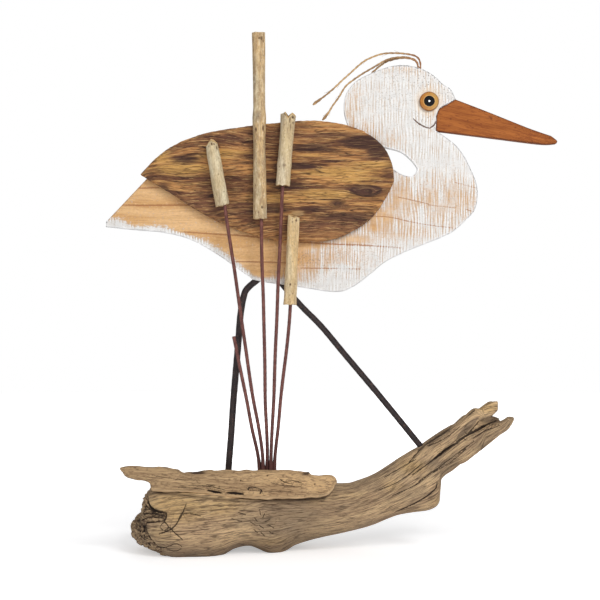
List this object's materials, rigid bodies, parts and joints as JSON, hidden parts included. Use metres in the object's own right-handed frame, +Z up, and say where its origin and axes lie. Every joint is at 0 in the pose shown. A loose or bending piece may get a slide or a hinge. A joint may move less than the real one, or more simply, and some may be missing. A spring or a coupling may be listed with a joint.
{
  "type": "driftwood heron sculpture",
  "caption": "Fret-sawn whitewashed wooden heron with a weathered wing slab, standing on bent rods in driftwood beside wire and twig reeds.",
  "frame": {"origin": "on the ground under the middle of the whole sculpture", "axes": "+Z up, +X towards the beak, -Y towards the painted side that the picture shows"},
  "size_m": [0.4512, 0.1125, 0.5146],
  "materials": {
    "whitewashed_board": "matte",
    "weathered_wood": "matte",
    "beak_paint": "satin",
    "eye_glaze": "gloss",
    "black_rod": "satin",
    "rusty_wire": "matte",
    "peeled_twig": "matte",
    "driftwood": "matte",
    "pale_driftwood": "matte",
    "crest_fibre": "matte"
  },
  "bodies": {
    "root": {"body_board": "whitewashed_board", "wing_slab": "weathered_wood", "beak": "beak_paint", "eye": "eye_glaze", "leg_left": "black_rod", "leg_right": "black_rod", "crest_strand_1": "crest_fibre", "crest_strand_2": "crest_fibre", "crest_strand_3": "crest_fibre", "reed_stem_1": "rusty_wire", "reed_stem_2": "rusty_wire", "reed_stem_3": "rusty_wire", "reed_stem_4": "rusty_wire", "reed_stem_5": "rusty_wire", "reed_head_2": "peeled_twig", "reed_head_3": "peeled_twig", "reed_head_4": "peeled_twig", "reed_head_5": "peeled_twig", "driftwood_log": "driftwood", "driftwood_slat": "pale_driftwood"}
  },
  "joints": []
}
